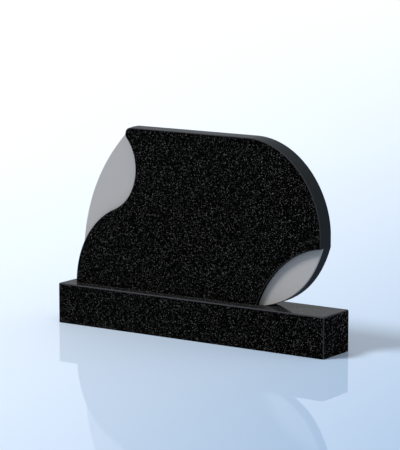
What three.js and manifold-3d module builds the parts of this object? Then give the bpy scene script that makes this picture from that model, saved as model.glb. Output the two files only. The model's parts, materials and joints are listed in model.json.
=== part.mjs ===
// A horizontal headstone: one shaped slab of polished black stone standing on a plinth.
// Two fields are sunk into the slab's face: a tall one at its upper left, which leaves an S-shaped
// edge of the polished face, and a leaf-shaped one at its lower right.
// Millimetres, Z up. The polished face looks along -Y and the origin is the middle of the
// plinth's underside.

import * as THREE from 'three';
import { mergeVertices } from 'three/addons/utils/BufferGeometryUtils.js';
import Module from 'manifold-3d';

const wasm = await Module();
wasm.setup();

// Slab
const SLAB_LENGTH = 1104;
const SLAB_HEIGHT = 621;
const SLAB_THICKNESS = 76;
const SUNK_DEPTH = 18;
const SLAB_ARRIS = 2.5;

// Plinth
const PLINTH_HEIGHT = 156;
const END_LEDGE = 48;
const SIDE_LEDGE = 51;
const PLINTH_ARRIS = 3.5;

// What is drawn below a foot and then sawn off flat, so that the foot has no worked arris
const SAWN_OFF = 12;

// Flat facets on each curve of an outline
const CURVE_STEPS = 28;

// The plinth shows the same ledge at both ends, and the same at the front and the back
const PLINTH_LENGTH = SLAB_LENGTH + 2 * END_LEDGE;
const PLINTH_DEPTH = SLAB_THICKNESS + 2 * SIDE_LEDGE;

// The outline is a free form, so its points are shares of the slab's own length, counted from the
// left end, and of its own height, counted from the foot.
const along = (share) => (share - 0.5) * SLAB_LENGTH;
const up = (share) => share * SLAB_HEIGHT;

const lineTo = (outline, x, z) => outline.lineTo(along(x), up(z));

const curveTo = (outline, ...points) => {
  const sizes = points.map(([x, z]) => [along(x), up(z)]);
  outline.bezierCurveTo(...sizes.flat());
};

// Corners that both outlines share
const SUNK_POINT = [0.022, 0.211];
const TOP_CURVE_START = [0.711, 1];
const SIDE_TOP = [1, 0.447];
const LEAF_POINT = [1, 0.378];

// Left side from the foot to the lower point of the tall sunk field
function leftFoot(outline) {
  outline.moveTo(along(0), -SAWN_OFF);
  lineTo(outline, 0, 0);
  curveTo(outline, [0, 0.079], [0.009, 0.151], SUNK_POINT);
}

// Top edge, the great curve of the right shoulder and the short upright side below it
function rightShoulder(outline) {
  lineTo(outline, ...TOP_CURVE_START);
  curveTo(outline, [0.879, 1], [1, 0.709], SIDE_TOP);
  lineTo(outline, ...LEAF_POINT);
}

// Outline of the polished face, with its S-shaped edge, the rounded tip above it, and the inner
// edge of the leaf
function faceOutline() {
  const outline = new THREE.Shape();
  leftFoot(outline);
  curveTo(outline, [0.053, 0.354], [0.113, 0.446], [0.163, 0.484]);
  curveTo(outline, [0.264, 0.561], [0.281, 0.796], [0.222, 0.927]);
  curveTo(outline, [0.207, 0.953], [0.213, 1], [0.238, 1]);
  rightShoulder(outline);
  curveTo(outline, [0.903, 0.355], [0.799, 0.23], [0.751, 0]);
  outline.lineTo(along(0.747), -SAWN_OFF);
  outline.closePath();
  return outline;
}

// Outline of the full slab behind the face, with the long curve of its left shoulder, and the
// curve that runs in under the leaf
function slabOutline() {
  const outline = new THREE.Shape();
  leftFoot(outline);
  curveTo(outline, [0.037, 0.68], [0.178, 0.902], [0.225, 1]);
  rightShoulder(outline);
  curveTo(outline, [0.959, 0.138], [0.873, 0.037], [0.783, 0]);
  outline.lineTo(along(0.736), -SAWN_OFF);
  outline.closePath();
  return outline;
}

function toSolid(geometry) {
  const bare = geometry.clone();
  bare.deleteAttribute('normal');
  bare.deleteAttribute('uv');
  const merged = mergeVertices(bare);
  return new wasm.Manifold(new wasm.Mesh({
    numProp: 3,
    vertProperties: new Float32Array(merged.attributes.position.array),
    triVerts: new Uint32Array(merged.index.array),
  }));
}

function toGeometry(solid) {
  const mesh = solid.getMesh();
  const geometry = new THREE.BufferGeometry();
  geometry.setAttribute('position', new THREE.BufferAttribute(mesh.vertProperties, 3));
  geometry.setIndex(new THREE.BufferAttribute(mesh.triVerts, 1));
  const faceted = geometry.toNonIndexed();
  faceted.computeVertexNormals();
  return faceted;
}

// An outline given a thickness, with a chamfered arris all round both of its faces
function dressed(outline, thickness, arris) {
  return new THREE.ExtrudeGeometry(outline, {
    depth: thickness - 2 * arris,
    curveSegments: CURVE_STEPS,
    bevelEnabled: true,
    bevelThickness: arris,
    bevelSize: arris,
    bevelOffset: -arris,
    bevelSegments: 1,
  }).translate(0, 0, arris);
}

// What lies below Z = 0 is sawn off
function sawnFlat(solid, length, depth) {
  const waste = new THREE.BoxGeometry(2 * length, 2 * depth, 2 * SAWN_OFF);
  waste.translate(0, 0, -SAWN_OFF);
  return solid.subtract(toSolid(waste));
}

// The slab is drawn lying on its back, and is then stood up. The face is drawn half-way into the
// body behind it, so that the two are one stone.
function makeSlab() {
  const bodyThickness = SLAB_THICKNESS - SUNK_DEPTH;
  const body = dressed(slabOutline(), bodyThickness, SLAB_ARRIS);
  const face = dressed(faceOutline(), SUNK_DEPTH + bodyThickness / 2, SLAB_ARRIS);
  face.translate(0, 0, bodyThickness / 2);
  for (const layer of [face, body]) {
    layer.translate(0, 0, -SLAB_THICKNESS / 2);
    layer.rotateX(Math.PI / 2);
  }
  const slab = toSolid(face).add(toSolid(body));
  return toGeometry(sawnFlat(slab, SLAB_LENGTH, SLAB_THICKNESS));
}

// The plinth is a straight block with its upright and its top arrises chamfered
function makePlinth() {
  const x = PLINTH_LENGTH / 2;
  const y = PLINTH_DEPTH / 2;
  const plan = new THREE.Shape([
    new THREE.Vector2(-x + PLINTH_ARRIS, -y),
    new THREE.Vector2(x - PLINTH_ARRIS, -y),
    new THREE.Vector2(x, -y + PLINTH_ARRIS),
    new THREE.Vector2(x, y - PLINTH_ARRIS),
    new THREE.Vector2(x - PLINTH_ARRIS, y),
    new THREE.Vector2(-x + PLINTH_ARRIS, y),
    new THREE.Vector2(-x, y - PLINTH_ARRIS),
    new THREE.Vector2(-x, -y + PLINTH_ARRIS),
  ]);
  const block = dressed(plan, PLINTH_HEIGHT + SAWN_OFF, PLINTH_ARRIS);
  block.translate(0, 0, -SAWN_OFF);
  return toGeometry(sawnFlat(toSolid(block), PLINTH_LENGTH, PLINTH_DEPTH));
}

const polishedStone = new THREE.MeshStandardMaterial({ color: 0x111213, roughness: 0.12, metalness: 0 });
const plinthStone = new THREE.MeshStandardMaterial({ color: 0x17181a, roughness: 0.14, metalness: 0 });

const headstone = new THREE.Mesh(makeSlab(), polishedStone);
headstone.name = 'headstone';
headstone.position.z = PLINTH_HEIGHT;

const plinth = new THREE.Mesh(makePlinth(), plinthStone);
plinth.name = 'plinth';

const memorial = new THREE.Group();
memorial.add(plinth, headstone);

export default memorial;
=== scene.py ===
"""A horizontal headstone of polished black stone on its plinth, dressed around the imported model.

Metres, Z up. The polished face looks along -Y, and the origin is the middle of the plinth's underside.
"""

import json
import logging
import math
from dataclasses import dataclass, field
from enum import Enum
from typing import Any, Callable, Optional, Union

import bpy
from mathutils import Matrix, Vector

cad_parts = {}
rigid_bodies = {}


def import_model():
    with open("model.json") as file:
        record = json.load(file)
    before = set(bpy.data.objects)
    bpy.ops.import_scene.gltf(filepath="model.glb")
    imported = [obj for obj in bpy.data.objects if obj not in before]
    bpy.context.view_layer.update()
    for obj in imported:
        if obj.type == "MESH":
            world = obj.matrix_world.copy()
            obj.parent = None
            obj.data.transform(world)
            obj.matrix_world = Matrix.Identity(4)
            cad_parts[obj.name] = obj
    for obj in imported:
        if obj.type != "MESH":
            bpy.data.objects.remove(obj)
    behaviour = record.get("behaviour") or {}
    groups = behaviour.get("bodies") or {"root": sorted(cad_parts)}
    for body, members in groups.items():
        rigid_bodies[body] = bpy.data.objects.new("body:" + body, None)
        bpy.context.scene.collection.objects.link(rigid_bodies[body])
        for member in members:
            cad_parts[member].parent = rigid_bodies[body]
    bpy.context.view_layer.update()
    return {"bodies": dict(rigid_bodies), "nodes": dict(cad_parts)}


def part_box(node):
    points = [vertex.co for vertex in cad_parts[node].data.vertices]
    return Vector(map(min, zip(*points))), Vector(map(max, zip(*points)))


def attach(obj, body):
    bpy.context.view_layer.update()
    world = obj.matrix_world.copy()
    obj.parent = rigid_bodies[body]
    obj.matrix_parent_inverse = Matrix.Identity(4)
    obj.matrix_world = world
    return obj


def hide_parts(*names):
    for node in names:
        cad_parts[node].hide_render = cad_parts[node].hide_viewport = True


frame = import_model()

log = logging.getLogger("headstone")

Share = tuple[float, float]
Colour = tuple[float, float, float, float]
Tree = Union[bpy.types.GeometryNodeTree, bpy.types.ShaderNodeTree]

BODY = "root"
MILLIMETRE = 0.001


def linear(colour: str) -> Colour:
    """Turns an sRGB hex colour into the linear one that a shader takes.

    Args:
        colour: six hex digits, such as "#1f2126".

    Returns:
        Red, green and blue in linear light, and an alpha of one.
    """
    values = []
    for start in (1, 3, 5):
        share = int(colour[start : start + 2], 16) / 255
        values.append(share / 12.92 if share <= 0.04045 else ((share + 0.055) / 1.055) ** 2.4)
    return (values[0], values[1], values[2], 1.0)


def add_node(
    tree: Tree,
    kind: str,
    settings: Optional[dict[str, Any]] = None,
    inputs: Optional[dict[Union[int, str], Any]] = None,
) -> bpy.types.Node:
    """Adds one node with its settings, its input values and its links.

    Args:
        tree: the tree that gets the node.
        kind: Blender's name of the node's type.
        settings: the node's own properties.
        inputs: a value, a socket or a list of sockets for an input, by the input's name or place.

    Returns:
        The new node.
    """
    node = tree.nodes.new(kind)
    for name, value in (settings or {}).items():
        setattr(node, name, value)
    for key, value in (inputs or {}).items():
        sources = value if isinstance(value, list) else [value]
        for source in sources:
            if isinstance(source, bpy.types.NodeSocket):
                tree.links.new(source, node.inputs[key])
            else:
                node.inputs[key].default_value = source
    return node


# Outlines


@dataclass(frozen=True)
class Run:
    """One stretch of an outline, straight, or curved by the handles at its two ends."""

    end: Share
    handles: Optional[tuple[Share, Share]] = None


@dataclass(frozen=True)
class Outline:
    """A closed outline: where it starts, and the stretches that follow, closed by a straight one."""

    name: str
    start: Share
    runs: tuple[Run, ...]

    def draw(self, place: Callable[[Share], Vector], steps: int) -> bpy.types.Object:
        """Draws the outline as a curve that lies flat.

        Args:
            place: turns a point of the outline into metres.
            steps: how many pieces each curved stretch is drawn in.

        Returns:
            The curve's object, which is only read by a node tree.
        """
        curve = bpy.data.curves.new(self.name, "CURVE")
        curve.dimensions = "3D"
        curve.resolution_u = steps
        spline = curve.splines.new("BEZIER")
        corners = [self.start] + [run.end for run in self.runs]
        spline.bezier_points.add(len(corners) - 1)
        spline.use_cyclic_u = True
        for point, corner in zip(spline.bezier_points, corners):
            point.co = place(corner)
            point.handle_left_type = "VECTOR"
            point.handle_right_type = "VECTOR"
        for index, run in enumerate(self.runs):
            if run.handles:
                leaving = spline.bezier_points[index]
                arriving = spline.bezier_points[index + 1]
                leaving.handle_right_type = "FREE"
                leaving.handle_right = place(run.handles[0])
                arriving.handle_left_type = "FREE"
                arriving.handle_left = place(run.handles[1])
        return bpy.data.objects.new(self.name, curve)


# Corners and stretches that the slab and its polished face share, in shares of the slab's length
# from its left end and of its height from its foot
SUNK_POINT: Share = (0.022, 0.211)
LEAF_POINT: Share = (1.0, 0.378)
LEFT_FOOT = (
    Run((0.0, 0.0)),
    Run(SUNK_POINT, ((0.0, 0.079), (0.009, 0.151))),
)
RIGHT_SHOULDER = (
    Run((0.711, 1.0)),
    Run((1.0, 0.447), ((0.879, 1.0), (1.0, 0.709))),
    Run(LEAF_POINT),
)
# What is drawn below the foot and then sawn off flat, as a share of the slab's height
SAWN_OFF = 0.019
# How far right the wall of the S-shaped edge reaches, where the leaf's wall begins, and the height
# under which the tip's wall lies, in the same shares
S_EDGE_REACH = 0.27
LEAF_FOOT = 0.74
TIP_TOP = 0.99

SLAB_OUTLINE = Outline(
    "slab_outline",
    (0.0, -SAWN_OFF),
    LEFT_FOOT
    + (Run((0.225, 1.0), ((0.037, 0.68), (0.178, 0.902))),)
    + RIGHT_SHOULDER
    + (
        Run((0.783, 0.0), ((0.959, 0.138), (0.873, 0.037))),
        Run((0.736, -SAWN_OFF)),
    ),
)
FACE_OUTLINE = Outline(
    "face_outline",
    (0.0, -SAWN_OFF),
    LEFT_FOOT
    + (
        Run((0.163, 0.484), ((0.053, 0.354), (0.113, 0.446))),
        Run((0.222, 0.927), ((0.264, 0.561), (0.281, 0.796))),
        Run((0.238, 1.0), ((0.207, 0.953), (0.213, 1.0))),
    )
    + RIGHT_SHOULDER
    + (
        Run((0.751, 0.0), ((0.903, 0.355), (0.799, 0.23))),
        Run((0.747, -SAWN_OFF)),
    ),
)


# Finishes


class Speckle(Enum):
    """How far the pale mineral grains of the black stone show in a finish."""

    FULL = 1.0
    FAINT = 0.15


# Width of one line of the wave pattern at a scale of one, in metres
WAVE_WIDTH = math.tau / 20


class Marks(Enum):
    """Shape of the marks that a tool leaves: shallow dimples, or straight lines."""

    DIMPLES = "ShaderNodeTexNoise"
    LINES = "ShaderNodeTexWave"


@dataclass(frozen=True)
class Relief:
    """The fine relief of a worked surface: its marks, and their width and depth in millimetres."""

    marks: Marks
    width: float
    depth: float

    def bump(self, tree: Tree, place: bpy.types.NodeSocket) -> bpy.types.NodeSocket:
        """Adds the relief to a material.

        Args:
            tree: the material's tree.
            place: the socket that gives the place on the stone.

        Returns:
            The socket that gives the bumped normal.
        """
        own_width = 1.0 if self.marks is Marks.DIMPLES else WAVE_WIDTH
        scale = own_width / (self.width * MILLIMETRE)
        drawn = add_node(tree, self.marks.value, None, {"Vector": place, "Scale": scale})
        raised = add_node(
            tree,
            "ShaderNodeBump",
            None,
            {"Height": drawn.outputs[0], "Distance": self.depth * MILLIMETRE},
        )
        return raised.outputs[0]


@dataclass(frozen=True)
class StoneFinish:
    """A worked surface of the black stone: how rough it is left, and how its grains show in it.

    The real grains are 0.3 to 1.5 mm wide. They are drawn 2.1 mm wide, because a pixel of the photograph
    is about 4 mm of stone, and finer ones run together to an even grey.
    """

    name: str
    ground: str
    grain: str
    speckle: Speckle
    roughness: float
    specular: float
    relief: Relief
    grain_size: float = 2.1
    rarity: float = 24.0
    grain_roughness: float = 0.12

    def material(self) -> bpy.types.Material:
        """Builds the finish as a node material on Object coordinates.

        Returns:
            The material, or the one that was already built for this finish.
        """
        made = bpy.data.materials.get(self.name)
        if made:
            return made
        made = bpy.data.materials.new(self.name)
        made.use_nodes = True
        tree = made.node_tree
        tree.nodes.clear()
        place = add_node(tree, "ShaderNodeTexCoord").outputs["Object"]
        cells = add_node(
            tree,
            "ShaderNodeTexVoronoi",
            {"voronoi_dimensions": "3D", "feature": "F1"},
            {"Vector": place, "Scale": 1 / (self.grain_size * MILLIMETRE)},
        )
        chance = add_node(tree, "ShaderNodeSeparateColor", None, {0: cells.outputs["Color"]})
        rare = add_node(
            tree, "ShaderNodeMath", {"operation": "POWER"}, {0: chance.outputs[0], 1: self.rarity}
        )
        amount = add_node(
            tree,
            "ShaderNodeMath",
            {"operation": "MULTIPLY"},
            {0: rare.outputs[0], 1: self.speckle.value},
        )
        colour = add_node(
            tree,
            "ShaderNodeMix",
            {"data_type": "RGBA"},
            {0: amount.outputs[0], 6: linear(self.ground), 7: linear(self.grain)},
        )
        rough = add_node(
            tree,
            "ShaderNodeMath",
            {"operation": "MULTIPLY_ADD", "use_clamp": True},
            {0: amount.outputs[0], 1: self.grain_roughness, 2: self.roughness},
        )
        shader = add_node(
            tree,
            "ShaderNodeBsdfPrincipled",
            None,
            {
                "Base Color": colour.outputs[2],
                "Roughness": rough.outputs[0],
                "Specular IOR Level": self.specular,
                "Normal": self.relief.bump(tree, place),
            },
        )
        add_node(tree, "ShaderNodeOutputMaterial", None, {"Surface": shader.outputs[0]})
        return made


# Black gabbro, ground and then polished with tin oxide to a mirror: the ground goes nearly black, and
# the pale feldspar grains stand out as fine sparks. The gloss is held far below that of real stone,
# because the large faces mirror no light in the photograph.
POLISHED = StoneFinish(
    name="gabbro_polished",
    ground="#010101",
    grain="#696764",
    speckle=Speckle.FULL,
    roughness=0.06,
    specular=0.008,
    relief=Relief(Marks.DIMPLES, width=9.0, depth=0.004),
)
# The same polish on a small end face, its sparks painted a little wider and brighter on a blacker
# ground: painted light, for the light that the end face gets too little of
END_POLISHED_LIT = StoneFinish(
    name="gabbro_end_polished",
    ground="#010000",
    grain="#77736c",
    speckle=Speckle.FULL,
    roughness=0.06,
    specular=0.004,
    relief=Relief(Marks.DIMPLES, width=9.0, depth=0.004),
    grain_size=2.5,
)
# The same polish on an upward face, painted a shade greyer with duller sparks: painted sheen, for the
# haze of light that the polished top catches
TOP_POLISHED_SHEEN = StoneFinish(
    name="gabbro_polished_filmed",
    ground="#19191a",
    grain="#6e6c69",
    speckle=Speckle.FULL,
    roughness=0.08,
    specular=0.008,
    relief=Relief(Marks.DIMPLES, width=9.0, depth=0.004),
)
# Black gabbro polished by hand with pads round the slab's curved edge: an even satin slate grey, in
# which the grains hardly show. The grey is partly the satin stone's own and partly painted reflection
# of the pale studio, and its faint teal cast is painted reflection.
EDGE_POLISHED = StoneFinish(
    name="gabbro_edge_polished",
    ground="#25292b",
    grain="#55575c",
    speckle=Speckle.FAINT,
    roughness=0.3,
    specular=0.0065,
    relief=Relief(Marks.DIMPLES, width=14.0, depth=0.01),
)
# Black gabbro with its arrises rubbed off by a fine stone and left matt: a thin grey line along each
# edge, partly the matt stone's own grey and partly painted highlight for the light that each arris
# catches
HONED_HIGHLIGHT = StoneFinish(
    name="gabbro_honed",
    ground="#333437",
    grain="#505256",
    speckle=Speckle.FAINT,
    roughness=0.4,
    specular=0.02,
    relief=Relief(Marks.DIMPLES, width=0.5, depth=0.01),
)
# Black gabbro blasted with grit, which bruises the crystals: a dry pale grey that takes soft shadows
BLASTED = StoneFinish(
    name="gabbro_sandblasted",
    ground="#a6a4a3",
    grain="#96989c",
    speckle=Speckle.FAINT,
    roughness=0.9,
    specular=0.02,
    relief=Relief(Marks.DIMPLES, width=1.2, depth=0.08),
)
# Black gabbro as the diamond saw left it, on the beds that nobody sees: dull grey with straight lines
SAWN = StoneFinish(
    name="gabbro_sawn",
    ground="#4a4c50",
    grain="#5c5e62",
    speckle=Speckle.FULL,
    roughness=0.7,
    specular=0.02,
    relief=Relief(Marks.LINES, width=4.0, depth=0.15),
)


# Node trees

# The two things that a face is chosen by: the way it looks, and where it lies
NORMAL = "GeometryNodeInputNormal"
PLACE = "GeometryNodeInputPosition"
# Least share of a normal along an axis for a face that looks straight along it, a share that no
# normal reaches, and the least share for an arris
STRAIGHT = 0.995
BEYOND = 1.1
SLANTED = 0.1
# Edges that turn less than this are shaded smooth, in degrees
SMOOTH_TURN = 12
# Points nearer than these, in metres, are one point: in a drawn layer, and after a saw cut
LAYER_GAP = 0.00002
CUT_GAP = 0.00003


@dataclass(frozen=True)
class Facing:
    """A test on a face: one share of its normal or its place lies between two values."""

    source: str
    axis: str
    least: float
    most: float


def straight(axis: str, way: int) -> Facing:
    """Returns the test for a face that looks straight along an axis, forwards (1) or backwards (-1)."""
    return Facing(NORMAL, axis, *sorted((way * STRAIGHT, way * BEYOND)))


def slanted(way: int) -> Facing:
    """Returns the test for an arris of the slab that looks partly along Y, backwards or forwards."""
    return Facing(NORMAL, "Y", *sorted((way * SLANTED, way * STRAIGHT)))


class Profile(Enum):
    """Section of an arris, as (inset, rise) in shares of its size, from the flat to the side."""

    EASED_CHAMFER = ((1.15, 0.0), (0.85, 0.12), (0.12, 0.85), (0.0, 1.15))


@dataclass(frozen=True)
class Sizes:
    """Reads the inputs of a tree by name, so that a modifier's values go to the right sockets."""

    tree: bpy.types.GeometryNodeTree

    def add(self, name: str, kind: str) -> None:
        """Adds a named input of that kind of socket."""
        self.tree.interface.new_socket(name, in_out="INPUT", socket_type=kind)

    def identifier(self, name: str) -> str:
        """Finds the identifier of an input.

        Args:
            name: the input's name.

        Returns:
            Its socket's identifier.
        """
        for item in self.tree.interface.items_tree:
            if item.name == name and item.in_out == "INPUT":
                return item.identifier
        raise KeyError(name)


def new_tree(name: str, inputs: dict[str, str]) -> tuple[bpy.types.GeometryNodeTree, bpy.types.Node]:
    """Starts a geometry node tree with named inputs and one mesh as its output.

    Args:
        name: the tree's name.
        inputs: the kind of socket of each named input.

    Returns:
        The tree and its Group Input node.
    """
    tree = bpy.data.node_groups.new(name, "GeometryNodeTree")
    sizes = Sizes(tree)
    for label, kind in inputs.items():
        sizes.add(label, kind)
    tree.interface.new_socket("Stone", in_out="OUTPUT", socket_type="NodeSocketGeometry")
    return tree, add_node(tree, "NodeGroupInput")


def dressed_layer_tree() -> bpy.types.GeometryNodeTree:
    """Builds the tree that gives an outline a thickness, with an arris all round both of its faces.

    Every point of the outline gets a mitre: the way in from it that is one long at right angles to
    both of its sides. Each ring of the layer is the outline moved along the mitres and raised.

    Returns:
        The tree, whose layer lies flat with its back at Z = "Back".
    """
    tree, given = new_tree(
        "dressed_layer",
        {
            "Outline": "NodeSocketGeometry",
            "Thickness": "NodeSocketFloat",
            "Arris": "NodeSocketFloat",
            "Back": "NodeSocketFloat",
        },
    )
    outline = add_node(
        tree, "GeometryNodeResampleCurve", {"mode": "EVALUATED"}, {"Curve": given.outputs["Outline"]}
    )
    here = add_node(tree, PLACE).outputs[0]
    normals = []
    for step in (-1, 1):
        index = add_node(tree, "GeometryNodeOffsetPointInCurve", None, {"Offset": step})
        there = add_node(
            tree,
            "GeometryNodeFieldAtIndex",
            {"data_type": "FLOAT_VECTOR", "domain": "POINT"},
            {"Index": index.outputs["Point Index"], "Value": here},
        )
        ends = (there.outputs[0], here) if step < 0 else (here, there.outputs[0])
        way = add_node(
            tree, "ShaderNodeVectorMath", {"operation": "SUBTRACT"}, {0: ends[1], 1: ends[0]}
        )
        inward = add_node(
            tree,
            "ShaderNodeVectorMath",
            {"operation": "CROSS_PRODUCT"},
            {0: way.outputs[0], 1: (0.0, 0.0, 1.0)},
        )
        unit = add_node(
            tree, "ShaderNodeVectorMath", {"operation": "NORMALIZE"}, {0: inward.outputs[0]}
        )
        normals.append(unit.outputs[0])
    both = add_node(
        tree, "ShaderNodeVectorMath", {"operation": "ADD"}, {0: normals[0], 1: normals[1]}
    )
    turn = add_node(
        tree, "ShaderNodeVectorMath", {"operation": "DOT_PRODUCT"}, {0: normals[0], 1: normals[1]}
    )
    fall = add_node(tree, "ShaderNodeMath", {"operation": "ADD"}, {0: turn.outputs["Value"], 1: 1.0})
    share = add_node(tree, "ShaderNodeMath", {"operation": "DIVIDE"}, {0: 1.0, 1: fall.outputs[0]})
    mitre = add_node(
        tree,
        "ShaderNodeVectorMath",
        {"operation": "SCALE"},
        {0: both.outputs[0], "Scale": share.outputs[0]},
    )
    marked = add_node(
        tree,
        "GeometryNodeStoreNamedAttribute",
        {"data_type": "FLOAT_VECTOR", "domain": "POINT"},
        {"Geometry": outline.outputs[0], "Name": "mitre", "Value": mitre.outputs[0]},
    )
    stored = add_node(
        tree, "GeometryNodeInputNamedAttribute", {"data_type": "FLOAT_VECTOR"}, {"Name": "mitre"}
    ).outputs[0]

    def moved(shape: Any, selection: Any, inset: float, rise: Any) -> Any:
        """Moves points in along their mitres, and up.

        Args:
            shape: the socket that gives the shape.
            selection: the socket that says which points move, or nothing for all of them.
            inset: how far in they move, as a share of the arris.
            rise: how far up they move, as a value or a socket.

        Returns:
            The socket that gives the moved shape.
        """
        depth = add_node(
            tree, "ShaderNodeMath", {"operation": "MULTIPLY"}, {0: given.outputs["Arris"], 1: inset}
        )
        way = add_node(
            tree,
            "ShaderNodeVectorMath",
            {"operation": "SCALE"},
            {0: stored, "Scale": depth.outputs[0]},
        )
        lift = add_node(tree, "ShaderNodeCombineXYZ", None, {"Z": rise})
        step = add_node(
            tree,
            "ShaderNodeVectorMath",
            {"operation": "ADD"},
            {0: way.outputs[0], 1: lift.outputs[0]},
        )
        inputs = {"Geometry": shape, "Offset": step.outputs[0]}
        if selection:
            inputs["Selection"] = selection
        return add_node(tree, "GeometryNodeSetPosition", None, inputs).outputs[0]

    profile = Profile.EASED_CHAMFER.value
    first = moved(marked.outputs[0], None, profile[0][0], given.outputs["Back"])
    cap = add_node(tree, "GeometryNodeFillCurve", {"mode": "NGONS"}, {"Curve": first})
    side = add_node(tree, "GeometryNodeCurveToMesh", None, {"Curve": first}).outputs[0]
    rings = list(profile) + list(reversed(profile))
    top = None
    for number, (last, ring) in enumerate(zip(rings, rings[1:])):
        inputs = {"Mesh": side, "Offset Scale": 0.0}
        if top:
            inputs["Selection"] = top
        drawn = add_node(tree, "GeometryNodeExtrudeMesh", {"mode": "EDGES"}, inputs)
        top = drawn.outputs["Top"]
        if number == len(profile) - 1:
            arrises = add_node(
                tree,
                "ShaderNodeMath",
                {"operation": "MULTIPLY"},
                {0: given.outputs["Arris"], 1: 2 * ring[1]},
            )
            rise = add_node(
                tree,
                "ShaderNodeMath",
                {"operation": "SUBTRACT"},
                {0: given.outputs["Thickness"], 1: arrises.outputs[0]},
            ).outputs[0]
        else:
            rise = add_node(
                tree,
                "ShaderNodeMath",
                {"operation": "MULTIPLY"},
                {0: given.outputs["Arris"], 1: abs(ring[1] - last[1])},
            ).outputs[0]
        side = moved(drawn.outputs["Mesh"], top, ring[0] - last[0], rise)
    over = add_node(
        tree,
        "ShaderNodeMath",
        {"operation": "ADD"},
        {0: given.outputs["Back"], 1: given.outputs["Thickness"]},
    )
    caps = []
    for height in (given.outputs["Back"], over.outputs[0]):
        lift = add_node(tree, "ShaderNodeCombineXYZ", None, {"Z": height})
        caps.append(
            add_node(
                tree,
                "GeometryNodeSetPosition",
                None,
                {"Geometry": cap.outputs[0], "Offset": lift.outputs[0]},
            ).outputs[0]
        )
    caps[0] = add_node(tree, "GeometryNodeFlipFaces", None, {"Mesh": caps[0]}).outputs[0]
    joined = add_node(
        tree, "GeometryNodeJoinGeometry", None, {"Geometry": [side, caps[0], caps[1]]}
    )
    closed = add_node(
        tree,
        "GeometryNodeMergeByDistance",
        None,
        {"Geometry": joined.outputs[0], "Distance": LAYER_GAP},
    )
    clean = add_node(
        tree, "GeometryNodeRemoveAttribute", None, {"Geometry": closed.outputs[0], "Name": "mitre"}
    )
    add_node(tree, "NodeGroupOutput", None, {"Stone": clean.outputs[0]})
    return tree


def finished(
    tree: bpy.types.GeometryNodeTree, shape: Any, finishes: list[tuple[StoneFinish, list[Facing]]]
) -> Any:
    """Ends a tree: the mesh is made real, its faces get their finishes, and its edges their crispness.

    Args:
        tree: the tree to end.
        shape: the socket that gives the stone.
        finishes: each finish with the tests that all hold on its faces; a later one overrules.

    Returns:
        The last socket.
    """
    axes = {}
    for source in (NORMAL, PLACE):
        field_node = add_node(tree, source)
        axes[source] = add_node(tree, "ShaderNodeSeparateXYZ", None, {0: field_node.outputs[0]})
    angle = add_node(tree, "GeometryNodeInputMeshEdgeAngle")
    slight = add_node(
        tree,
        "ShaderNodeMath",
        {"operation": "LESS_THAN"},
        {0: angle.outputs[0], 1: math.radians(SMOOTH_TURN)},
    )
    real = add_node(tree, "GeometryNodeRealizeInstances", None, {"Geometry": shape})
    smooth = add_node(tree, "GeometryNodeSetShadeSmooth", {"domain": "FACE"}, {0: real.outputs[0]})
    crisp = add_node(
        tree,
        "GeometryNodeSetShadeSmooth",
        {"domain": "EDGE"},
        {0: smooth.outputs[0], "Shade Smooth": slight.outputs[0]},
    )
    shape = crisp.outputs[0]
    for finish, tests in finishes:
        chosen = None
        for test in tests:
            middle, reach = (test.least + test.most) / 2, (test.most - test.least) / 2
            held = add_node(
                tree,
                "ShaderNodeMath",
                {"operation": "COMPARE"},
                {0: axes[test.source].outputs[test.axis], 1: middle, 2: reach},
            ).outputs[0]
            if chosen:
                held = add_node(
                    tree, "ShaderNodeMath", {"operation": "MULTIPLY"}, {0: chosen, 1: held}
                ).outputs[0]
            chosen = held
        inputs = {"Geometry": shape, "Material": finish.material()}
        if chosen:
            inputs["Selection"] = chosen
        shape = add_node(tree, "GeometryNodeSetMaterial", None, inputs).outputs[0]
    return shape


def grown(name: str, tree: bpy.types.GeometryNodeTree, values: dict[str, Any]) -> bpy.types.Object:
    """Runs a tree and keeps its result as a plain mesh.

    Args:
        name: the new piece's name.
        tree: the geometry node tree.
        values: a value for each named input.

    Returns:
        The piece's object, at the origin, with no modifier.
    """
    piece = bpy.data.objects.new(name, bpy.data.meshes.new(name + "_seed"))
    bpy.context.scene.collection.objects.link(piece)
    modifier = piece.modifiers.new("stone", "NODES")
    modifier.node_group = tree
    sizes = Sizes(tree)
    for label, value in values.items():
        modifier[sizes.identifier(label)] = value
    graph = bpy.context.evaluated_depsgraph_get()
    mesh = bpy.data.meshes.new_from_object(piece.evaluated_get(graph))
    mesh.name = name
    piece.modifiers.clear()
    piece.data = mesh
    return piece


# Sub-assemblies


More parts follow.
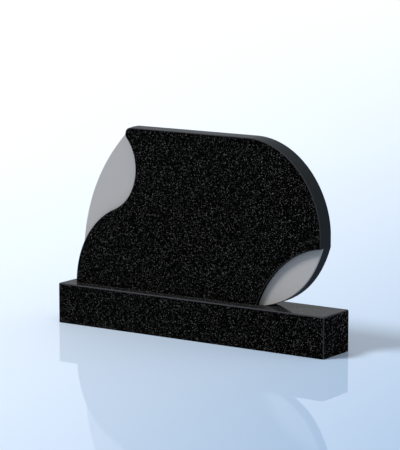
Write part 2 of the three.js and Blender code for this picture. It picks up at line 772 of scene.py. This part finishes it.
@dataclass
class Slab:
    """The shaped slab: a body, and on its front the polished face, whose S-shaped left edge and
    leaf-shaped lower right edge leave two fields sunk."""

    length: float
    height: float
    thickness: float
    foot: float
    sunk_depth: float = 0.018
    arris: float = 0.0025
    curve_steps: int = 48
    outlines: dict[str, Outline] = field(
        default_factory=lambda: {"Body outline": SLAB_OUTLINE, "Face outline": FACE_OUTLINE}
    )

    @classmethod
    def standing_in(cls, low: Vector, high: Vector) -> "Slab":
        """Takes the slab's sizes from the corners of its CAD node."""
        return cls(high.x - low.x, high.z - low.z, high.y - low.y, low.z)

    def place(self, share: Share) -> Vector:
        """Turns a point of an outline into metres, with the slab lying on its back."""
        return Vector(((share[0] - 0.5) * self.length, share[1] * self.height, 0.0))

    def wall(self, left: float, right: float, low: float, high: float) -> list[Facing]:
        """Finds the wall between the face and a sunk field.

        Args:
            left: where the wall begins, as a share of the slab's length.
            right: where it ends.
            low: its lowest point, as a share of the slab's height.
            high: its highest point.

        Returns:
            The tests that hold on the wall's faces.
        """
        front = -self.thickness / 2
        return [
            Facing(PLACE, "X", (left - 0.5) * self.length, (right - 0.5) * self.length),
            Facing(PLACE, "Y", front, front + self.sunk_depth),
            Facing(PLACE, "Z", self.foot + low * self.height, self.foot + high * self.height),
        ]

    def tree(self) -> bpy.types.GeometryNodeTree:
        """Builds the tree that joins body and face, stands the slab up and saws its foot flat.

        Returns:
            The tree, whose inputs are the two outlines and the slab's sizes.
        """
        sizes = ("Thickness", "Sunk depth", "Arris", "Foot", "Waste")
        inputs = {label: "NodeSocketObject" for label in self.outlines}
        inputs.update({label: "NodeSocketFloat" for label in sizes})
        tree, given = new_tree("headstone_slab", inputs)
        body_thickness = add_node(
            tree,
            "ShaderNodeMath",
            {"operation": "SUBTRACT"},
            {0: given.outputs["Thickness"], 1: given.outputs["Sunk depth"]},
        )
        half_way = add_node(
            tree, "ShaderNodeMath", {"operation": "MULTIPLY"}, {0: body_thickness.outputs[0], 1: 0.5}
        )
        face_thickness = add_node(
            tree,
            "ShaderNodeMath",
            {"operation": "SUBTRACT"},
            {0: given.outputs["Thickness"], 1: half_way.outputs[0]},
        )
        layer_tree = dressed_layer_tree()
        layers = []
        for label, thick, back in (
            ("Body outline", body_thickness.outputs[0], 0.0),
            ("Face outline", face_thickness.outputs[0], half_way.outputs[0]),
        ):
            drawn = add_node(tree, "GeometryNodeObjectInfo", None, {"Object": given.outputs[label]})
            layer = add_node(
                tree,
                "GeometryNodeGroup",
                {"node_tree": layer_tree},
                {
                    "Outline": drawn.outputs["Geometry"],
                    "Thickness": thick,
                    "Arris": given.outputs["Arris"],
                    "Back": back,
                },
            )
            layers.append(layer.outputs[0])
        slab = add_node(
            tree,
            "GeometryNodeMeshBoolean",
            {"operation": "UNION", "solver": "MANIFOLD"},
            {"Mesh 2": layers},
        )
        half = add_node(
            tree, "ShaderNodeMath", {"operation": "MULTIPLY"}, {0: given.outputs["Thickness"], 1: 0.5}
        )
        move = add_node(
            tree, "ShaderNodeCombineXYZ", None, {"Y": half.outputs[0], "Z": given.outputs["Foot"]}
        )
        stood = add_node(
            tree,
            "GeometryNodeTransform",
            None,
            {
                "Geometry": slab.outputs[0],
                "Translation": move.outputs[0],
                "Rotation": (math.pi / 2, 0.0, 0.0),
            },
        )
        sawn = sawn_flat(tree, stood.outputs[0], given.outputs["Foot"], given.outputs["Waste"])
        front = -self.thickness / 2
        step = self.sunk_depth / 2
        sunk = front + self.sunk_depth
        shape = finished(
            tree,
            sawn,
            [
                # the curved edge: satin grey, partly painted reflection
                (EDGE_POLISHED, []),
                (POLISHED, self.wall(0.0, S_EDGE_REACH, SUNK_POINT[1], TIP_TOP)),
                (POLISHED, self.wall(LEAF_FOOT, 1.0, 0.0, LEAF_POINT[1])),
                # the arrises: matt grey with painted highlight
                (HONED_HIGHLIGHT, [slanted(-1)]),
                (HONED_HIGHLIGHT, [slanted(1)]),
                (POLISHED, [straight("Y", 1)]),
                (BLASTED, [straight("Y", -1)]),
                (BLASTED, [slanted(-1), Facing(PLACE, "Y", sunk, sunk + 2 * self.arris)]),
                (POLISHED, [straight("Y", -1), Facing(PLACE, "Y", front - step, front + step)]),
                (SAWN, [straight("Z", -1), Facing(PLACE, "Z", self.foot - step, self.foot + step)]),
            ],
        )
        add_node(tree, "NodeGroupOutput", None, {"Stone": shape})
        return tree

    def build(self) -> bpy.types.Object:
        """Makes the slab and puts it in the frame.

        Returns:
            The piece, which stands for the CAD's slab.
        """
        drawn = {
            label: shape.draw(self.place, self.curve_steps) for label, shape in self.outlines.items()
        }
        values = {
            "Thickness": self.thickness,
            "Sunk depth": self.sunk_depth,
            "Arris": self.arris,
            "Foot": self.foot,
            "Waste": 2 * self.length,
        }
        values.update(drawn)
        piece = grown("headstone_slab", self.tree(), values)
        for shape in drawn.values():
            bpy.data.objects.remove(shape)
        return framed(piece, "headstone")


def sawn_flat(tree: bpy.types.GeometryNodeTree, stone: Any, level: Any, waste: Any) -> Any:
    """Saws off whatever of a stone lies below a level.

    Args:
        tree: the tree that gets the nodes.
        stone: the socket that gives the stone.
        level: the height of the cut.
        waste: the size of the block that is taken away below it.

    Returns:
        The socket that gives the sawn stone.
    """
    edges = add_node(tree, "ShaderNodeCombineXYZ", None, {"X": waste, "Y": waste, "Z": waste})
    block = add_node(tree, "GeometryNodeMeshCube", None, {"Size": edges.outputs[0]})
    half = add_node(tree, "ShaderNodeMath", {"operation": "MULTIPLY"}, {0: waste, 1: 0.5})
    depth = add_node(tree, "ShaderNodeMath", {"operation": "SUBTRACT"}, {0: level, 1: half.outputs[0]})
    move = add_node(tree, "ShaderNodeCombineXYZ", None, {"Z": depth.outputs[0]})
    placed = add_node(
        tree,
        "GeometryNodeTransform",
        None,
        {"Geometry": block.outputs[0], "Translation": move.outputs[0]},
    )
    cut = add_node(
        tree,
        "GeometryNodeMeshBoolean",
        {"operation": "DIFFERENCE", "solver": "MANIFOLD"},
        {"Mesh 1": stone, "Mesh 2": placed.outputs[0]},
    )
    clean = add_node(
        tree, "GeometryNodeMergeByDistance", None, {"Geometry": cut.outputs[0], "Distance": CUT_GAP}
    )
    return clean.outputs[0]


@dataclass
class Plinth:
    """The straight block under the slab, with its upright and its top arrises taken off."""

    length: float
    depth: float
    height: float
    arris: float = 0.0035
    waste: float = 0.012

    @classmethod
    def standing_in(cls, low: Vector, high: Vector) -> "Plinth":
        """Takes the plinth's sizes from the corners of its CAD node."""
        return cls(high.x - low.x, high.y - low.y, high.z - low.z)

    def plan(self) -> Outline:
        """Draws the plinth's plan clockwise, as shares of one metre from its middle.

        Returns:
            The plan, with its four upright arrises cut.
        """
        x, y, cut = self.length / 2, self.depth / 2, self.arris
        corners = [
            (-x, -y + cut),
            (-x, y - cut),
            (-x + cut, y),
            (x - cut, y),
            (x, y - cut),
            (x, -y + cut),
            (x - cut, -y),
            (-x + cut, -y),
        ]
        return Outline("plinth_plan", corners[0], tuple(Run(corner) for corner in corners[1:]))

    def tree(self) -> bpy.types.GeometryNodeTree:
        """Builds the tree that raises the plan to a block and saws its underside flat.

        Returns:
            The tree, whose inputs are the plan and the plinth's sizes.
        """
        sizes = ("Height", "Arris", "Sawn off", "Waste")
        inputs = {"Plan": "NodeSocketObject"}
        inputs.update({label: "NodeSocketFloat" for label in sizes})
        tree, given = new_tree("plinth_block", inputs)
        whole = add_node(
            tree,
            "ShaderNodeMath",
            {"operation": "ADD"},
            {0: given.outputs["Height"], 1: given.outputs["Sawn off"]},
        )
        below = add_node(
            tree, "ShaderNodeMath", {"operation": "MULTIPLY"}, {0: given.outputs["Sawn off"], 1: -1.0}
        )
        drawn = add_node(tree, "GeometryNodeObjectInfo", None, {"Object": given.outputs["Plan"]})
        block = add_node(
            tree,
            "GeometryNodeGroup",
            {"node_tree": dressed_layer_tree()},
            {
                "Outline": drawn.outputs["Geometry"],
                "Thickness": whole.outputs[0],
                "Arris": given.outputs["Arris"],
                "Back": below.outputs[0],
            },
        )
        sawn = sawn_flat(tree, block.outputs[0], 0.0, given.outputs["Waste"])
        shape = finished(
            tree,
            sawn,
            [
                (HONED_HIGHLIGHT, []),
                # painted sheen on the top
                (TOP_POLISHED_SHEEN, [straight("Z", 1)]),
                (POLISHED, [straight("Y", -1)]),
                (POLISHED, [straight("Y", 1)]),
                # painted light on the ends' sparks
                (END_POLISHED_LIT, [straight("X", -1)]),
                (END_POLISHED_LIT, [straight("X", 1)]),
                (SAWN, [straight("Z", -1)]),
            ],
        )
        add_node(tree, "NodeGroupOutput", None, {"Stone": shape})
        return tree

    def build(self) -> bpy.types.Object:
        """Makes the plinth and puts it in the frame.

        Returns:
            The piece, which stands for the CAD's plinth.
        """
        plan = self.plan().draw(lambda point: Vector((point[0], point[1], 0.0)), 1)
        values = {
            "Plan": plan,
            "Height": self.height,
            "Arris": self.arris,
            "Sawn off": self.waste,
            "Waste": 2 * self.length,
        }
        piece = grown("plinth_block", self.tree(), values)
        bpy.data.objects.remove(plan)
        return framed(piece, "plinth")


def framed(piece: bpy.types.Object, node: str) -> bpy.types.Object:
    """Puts a finished piece in the frame, in the place of its CAD node.

    Args:
        piece: the finished piece.
        node: the name of the CAD node that it stands for.

    Returns:
        The piece.
    """
    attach(piece, BODY)
    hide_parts(node)
    return piece


# Studio


@dataclass(frozen=True)
class Lamp:
    """A wide soft light that is far enough away to light everything evenly.

    Its width is an angle in degrees. One that isn't mirrored leaves no disc in the floor's gloss.
    """

    name: str
    way: tuple[float, float, float]
    width: float
    power: float
    mirrored: bool = True

    def hang(self) -> bpy.types.Object:
        """Hangs the lamp, so that it shines from its way towards the stone.

        Returns:
            The lamp's object.
        """
        lamp = bpy.data.lights.new(self.name, "SUN")
        lamp.angle = math.radians(self.width)
        lamp.energy = self.power
        light = bpy.data.objects.new(self.name, lamp)
        light.rotation_mode = "QUATERNION"
        light.rotation_quaternion = (-Vector(self.way)).to_track_quat("-Z", "Y")
        light.visible_glossy = self.mirrored
        bpy.context.scene.collection.objects.link(light)
        return light


@dataclass
class Studio:
    """The plain pale floor, the soft light and the camera.

    The camera was fitted to the plinth's edges in the photograph. The floor's colour is painted light:
    it turns from dim to lit along its slope, by the power of its turn, for light that falls off away
    from the far left.
    """

    floor_reach: float = 400.0
    # The floor's painted light: its lit and dim colours, and where and how fast it turns from one to the
    # other
    floor_lit_colour: str = "#e6eef7"
    floor_dim_colour: str = "#90a9c4"
    floor_light_middle: float = 0.868
    floor_light_slope: tuple[float, float, float] = (0.111, 0.03, 0.0)
    floor_light_turn: float = 3.2
    floor_roughness: float = 0.0
    floor_specular: float = 0.0466
    horizon_glow: float = 0.31
    zenith_glow: float = 0.7
    sky_colour: str = "#f4f6fa"
    backdrop_glow: float = 0.68
    backdrop_way: tuple[float, float, float] = (-0.56, 0.83, 0.0)
    backdrop_fade: tuple[float, float] = (0.7, 0.93)
    lamps: tuple[Lamp, ...] = (
        Lamp("key", way=(-0.4, -0.47, 0.787), width=18.0, power=2.95),
        Lamp("fill", way=(0.8, 0.15, 0.55), width=80.0, power=0.8, mirrored=False),
    )
    lens: float = 193.5
    film_width: float = 36.0
    sight: float = 2000.0
    camera_place: tuple[float, float, float] = (5.011, -7.412, 1.904)
    camera_azimuth: float = 34.053
    camera_elevation: float = 9.381

    def floor(self) -> bpy.types.Object:
        """Lays the floor, a lacquered board whose colour pales towards its far left as painted light.

        Returns:
            The floor's object.
        """
        reach = self.floor_reach
        mesh = bpy.data.meshes.new("studio_floor")
        corners = [
            (-reach, -reach, 0.0),
            (reach, -reach, 0.0),
            (reach, reach, 0.0),
            (-reach, reach, 0.0),
        ]
        mesh.from_pydata(corners, [], [(0, 1, 2, 3)])
        board = bpy.data.objects.new("studio_floor", mesh)
        bpy.context.scene.collection.objects.link(board)
        material = bpy.data.materials.new("floor_lacquered_board")
        material.use_nodes = True
        tree = material.node_tree
        tree.nodes.clear()
        place = add_node(tree, "ShaderNodeTexCoord").outputs["Object"]
        along = add_node(
            tree,
            "ShaderNodeVectorMath",
            {"operation": "DOT_PRODUCT"},
            {0: place, 1: self.floor_light_slope},
        )
        depth = add_node(
            tree,
            "ShaderNodeMath",
            {"operation": "ADD", "use_clamp": True},
            {0: along.outputs["Value"], 1: self.floor_light_middle},
        )
        turned = add_node(
            tree, "ShaderNodeMath", {"operation": "POWER"}, {0: depth.outputs[0], 1: self.floor_light_turn}
        )
        # Painted light: the colour pales towards the far left, for light that falls off away from there
        colour = add_node(
            tree,
            "ShaderNodeMix",
            {"data_type": "RGBA"},
            {0: turned.outputs[0], 6: linear(self.floor_lit_colour), 7: linear(self.floor_dim_colour)},
        )
        shader = add_node(
            tree,
            "ShaderNodeBsdfPrincipled",
            None,
            {
                "Base Color": colour.outputs[2],
                "Roughness": self.floor_roughness,
                "Specular IOR Level": self.floor_specular,
            },
        )
        add_node(tree, "ShaderNodeOutputMaterial", None, {"Surface": shader.outputs[0]})
        mesh.materials.append(material)
        return board

    def sky(self) -> None:
        """Sets the soft light from all round, stronger from overhead and from the lit backdrop."""
        world = bpy.data.worlds.new("studio")
        bpy.context.scene.world = world
        world.use_nodes = True
        tree = world.node_tree
        tree.nodes.clear()
        way = add_node(tree, "ShaderNodeTexCoord").outputs["Generated"]
        rise = add_node(tree, "ShaderNodeSeparateXYZ", None, {0: way})
        glow = add_node(
            tree,
            "ShaderNodeMapRange",
            None,
            {"Value": rise.outputs["Z"], "To Min": self.horizon_glow, "To Max": self.zenith_glow},
        )
        towards = add_node(
            tree, "ShaderNodeVectorMath", {"operation": "DOT_PRODUCT"}, {0: way, 1: self.backdrop_way}
        )
        backdrop = add_node(
            tree,
            "ShaderNodeMapRange",
            {"interpolation_type": "SMOOTHSTEP"},
            {
                "Value": towards.outputs["Value"],
                "From Min": self.backdrop_fade[0],
                "From Max": self.backdrop_fade[1],
                "To Max": self.backdrop_glow,
            },
        )
        whole = add_node(
            tree, "ShaderNodeMath", {"operation": "ADD"}, {0: glow.outputs[0], 1: backdrop.outputs[0]}
        )
        shade = add_node(
            tree,
            "ShaderNodeBackground",
            None,
            {"Color": linear(self.sky_colour), "Strength": whole.outputs[0]},
        )
        add_node(tree, "ShaderNodeOutputWorld", None, {"Surface": shade.outputs[0]})

    def camera(self) -> bpy.types.Object:
        """Places the camera at the photograph's height and angle, with a long lens.

        Returns:
            The camera's object.
        """
        data = bpy.data.cameras.new("camera")
        data.lens = self.lens
        data.sensor_width = self.film_width
        data.clip_end = self.sight
        eye = bpy.data.objects.new("camera", data)
        turn, rise = math.radians(self.camera_azimuth), math.radians(self.camera_elevation)
        eye.matrix_world = (
            Matrix.Translation(self.camera_place)
            @ Matrix.Rotation(turn, 4, "Z")
            @ Matrix.Rotation(math.pi / 2 - rise, 4, "X")
        )
        bpy.context.scene.collection.objects.link(eye)
        bpy.context.scene.camera = eye
        return eye

    def build(self) -> None:
        """Sets up the whole studio."""
        self.floor()
        self.sky()
        for lamp in self.lamps:
            lamp.hang()
        self.camera()
        bpy.context.scene.view_settings.view_transform = "Standard"


def clear_stage() -> None:
    """Takes away what a new file holds besides the frame."""
    kept = set(frame["nodes"].values()) | set(frame["bodies"].values())
    for thing in list(bpy.context.scene.objects):
        if thing not in kept:
            bpy.data.objects.remove(thing)


def main() -> None:
    """Builds the studio, the plinth and the slab in order, and reports each piece."""
    logging.basicConfig(level=logging.INFO, format="%(name)s: %(message)s")
    clear_stage()
    Studio().build()
    for part, node in ((Plinth, "plinth"), (Slab, "headstone")):
        piece = part.standing_in(*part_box(node)).build()
        log.info("%s: %d faces, stands for %s", piece.name, len(piece.data.polygons), node)


if __name__ == "__main__":
    main()
